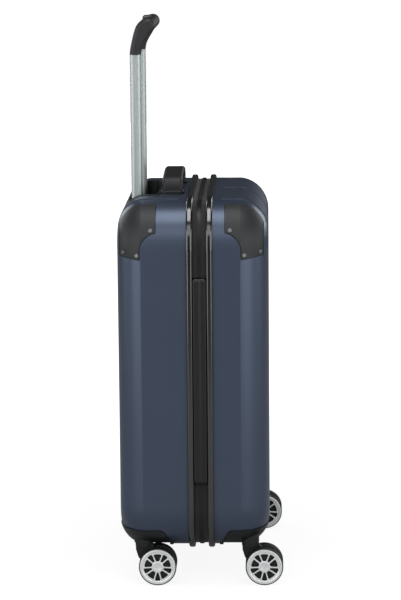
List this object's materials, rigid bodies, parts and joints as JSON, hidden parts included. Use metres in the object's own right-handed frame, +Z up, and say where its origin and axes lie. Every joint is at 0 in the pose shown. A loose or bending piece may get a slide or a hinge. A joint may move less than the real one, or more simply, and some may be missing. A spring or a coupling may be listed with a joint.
{
  "type": "hard shell suitcase",
  "caption": "Hard shell cabin suitcase with a zip between its halves, telescopic handle, carry handles and twin-wheel casters.",
  "frame": {"origin": "on the floor under the middle of the width, in the plane of the zip", "axes": "+X to the right seen from the front, the hinge at -X; +Y to the back, where the telescopic handle is; +Z up"},
  "size_m": [0.409, 0.2207, 0.7606],
  "materials": {
    "shell_navy": "fine grained, semi matt",
    "black_plastic": "moulded, satin",
    "frame_plastic": "smooth",
    "rivet_steel": "plated",
    "steel": "plated",
    "zip_fabric": "woven",
    "hinge_rubber": "smooth",
    "lining_fabric": "woven",
    "tube_aluminium": "anodised, satin",
    "grip_plastic": "satin",
    "button_plastic": "satin",
    "slider_metal": "satin",
    "fork_plastic": "satin",
    "tyre": "matt",
    "hub_silver": "silver, satin"
  },
  "bodies": {
    "rear_half": {"rear_shell": "shell_navy", "rear_corner_guards": "black_plastic", "rear_guard_rivets": "rivet_steel", "rear_wheel_housings": "black_plastic", "rear_swivel_washers": "steel", "rear_frame": "frame_plastic", "rear_zip_tape": "zip_fabric", "rear_lining": "lining_fabric", "rear_hinge_leaf": "hinge_rubber", "handle_tray": "black_plastic", "outer_tubes": "tube_aluminium", "tube_foot": "black_plastic", "tube_cover": "lining_fabric", "top_handle": "grip_plastic", "side_handle": "grip_plastic", "handle_anchors": "black_plastic", "packing_straps": "lining_fabric", "strap_buckles": "black_plastic"},
    "front_half": {"front_shell": "shell_navy", "front_corner_guards": "black_plastic", "front_guard_rivets": "rivet_steel", "front_wheel_housings": "black_plastic", "front_swivel_washers": "steel", "front_frame": "frame_plastic", "front_zip_tape": "zip_fabric", "front_lining": "lining_fabric", "front_hinge_leaf": "hinge_rubber"},
    "handle_middle": {"middle_tubes": "tube_aluminium", "tube_collars": "black_plastic"},
    "handle_inner": {"inner_tubes": "tube_aluminium", "tube_plugs": "black_plastic", "grip": "grip_plastic"},
    "release_button": {"grip_button": "button_plastic", "release_rods": "steel"},
    "slider_upper": {"zip_slider_upper": "slider_metal"},
    "slider_lower": {"zip_slider_lower": "slider_metal"},
    "caster_front_left": {"fork_front_left": "fork_plastic", "axle_front_left": "steel"},
    "wheel_front_left_a": {"tyre_front_left_a": "tyre", "hubcap_front_left_a": "hub_silver"},
    "wheel_front_left_b": {"tyre_front_left_b": "tyre", "hubcap_front_left_b": "hub_silver"},
    "caster_front_right": {"fork_front_right": "fork_plastic", "axle_front_right": "steel"},
    "wheel_front_right_a": {"tyre_front_right_a": "tyre", "hubcap_front_right_a": "hub_silver"},
    "wheel_front_right_b": {"tyre_front_right_b": "tyre", "hubcap_front_right_b": "hub_silver"},
    "caster_rear_left": {"fork_rear_left": "fork_plastic", "axle_rear_left": "steel"},
    "wheel_rear_left_a": {"tyre_rear_left_a": "tyre", "hubcap_rear_left_a": "hub_silver"},
    "wheel_rear_left_b": {"tyre_rear_left_b": "tyre", "hubcap_rear_left_b": "hub_silver"},
    "caster_rear_right": {"fork_rear_right": "fork_plastic", "axle_rear_right": "steel"},
    "wheel_rear_right_a": {"tyre_rear_right_a": "tyre", "hubcap_rear_right_a": "hub_silver"},
    "wheel_rear_right_b": {"tyre_rear_right_b": "tyre", "hubcap_rear_right_b": "hub_silver"}
  },
  "joints": [
    {"name": "lid_hinge", "type": "hinge", "parent": "rear_half", "child": "front_half", "pos_m": [-0.1926, 0, 0.2845], "axis": [0, 0, -1], "range_deg": [0, 180]},
    {"name": "handle_middle_slide", "type": "slide", "parent": "rear_half", "child": "handle_middle", "axis": [0, 0, 1], "range_m": [0, 0.225]},
    {"name": "handle_inner_slide", "type": "slide", "parent": "handle_middle", "child": "handle_inner", "axis": [0, 0, 1], "range_m": [-0.225, 0]},
    {"name": "release_press", "type": "slide", "parent": "handle_inner", "child": "release_button", "axis": [0, 0, -1], "range_m": [0, 0.0038], "stiffness_N_per_m": 900, "springref_m": -0.002},
    {"name": "slider_upper_travel", "type": "slide", "parent": "rear_half", "child": "slider_upper", "axis": [0, 0, 1], "range_m": [0, 0.125]},
    {"name": "slider_lower_travel", "type": "slide", "parent": "rear_half", "child": "slider_lower", "axis": [0, 0, -1], "range_m": [0, 0.13]},
    {"name": "swivel_front_left", "type": "hinge", "parent": "front_half", "child": "caster_front_left", "pos_m": [-0.152, -0.065, 0.0561], "axis": [0, 0, 1], "continuous": true},
    {"name": "spin_front_left_a", "type": "hinge", "parent": "caster_front_left", "child": "wheel_front_left_a", "pos_m": [-0.1635, -0.0845, 0.0255], "axis": [1, 0, 0], "continuous": true},
    {"name": "spin_front_left_b", "type": "hinge", "parent": "caster_front_left", "child": "wheel_front_left_b", "pos_m": [-0.1405, -0.0845, 0.0255], "axis": [1, 0, 0], "continuous": true},
    {"name": "swivel_front_right", "type": "hinge", "parent": "front_half", "child": "caster_front_right", "pos_m": [0.152, -0.065, 0.0561], "axis": [0, 0, 1], "continuous": true},
    {"name": "spin_front_right_a", "type": "hinge", "parent": "caster_front_right", "child": "wheel_front_right_a", "pos_m": [0.1405, -0.0845, 0.0255], "axis": [1, 0, 0], "continuous": true},
    {"name": "spin_front_right_b", "type": "hinge", "parent": "caster_front_right", "child": "wheel_front_right_b", "pos_m": [0.1635, -0.0845, 0.0255], "axis": [1, 0, 0], "continuous": true},
    {"name": "swivel_rear_left", "type": "hinge", "parent": "rear_half", "child": "caster_rear_left", "pos_m": [-0.152, 0.0795, 0.0561], "axis": [0, 0, 1], "continuous": true},
    {"name": "spin_rear_left_a", "type": "hinge", "parent": "caster_rear_left", "child": "wheel_rear_left_a", "pos_m": [-0.1635, 0.06, 0.0255], "axis": [1, 0, 0], "continuous": true},
    {"name": "spin_rear_left_b", "type": "hinge", "parent": "caster_rear_left", "child": "wheel_rear_left_b", "pos_m": [-0.1405, 0.06, 0.0255], "axis": [1, 0, 0], "continuous": true},
    {"name": "swivel_rear_right", "type": "hinge", "parent": "rear_half", "child": "caster_rear_right", "pos_m": [0.152, 0.0795, 0.0561], "axis": [0, 0, 1], "continuous": true},
    {"name": "spin_rear_right_a", "type": "hinge", "parent": "caster_rear_right", "child": "wheel_rear_right_a", "pos_m": [0.1405, 0.06, 0.0255], "axis": [1, 0, 0], "continuous": true},
    {"name": "spin_rear_right_b", "type": "hinge", "parent": "caster_rear_right", "child": "wheel_rear_right_b", "pos_m": [0.1635, 0.06, 0.0255], "axis": [1, 0, 0], "continuous": true}
  ]
}
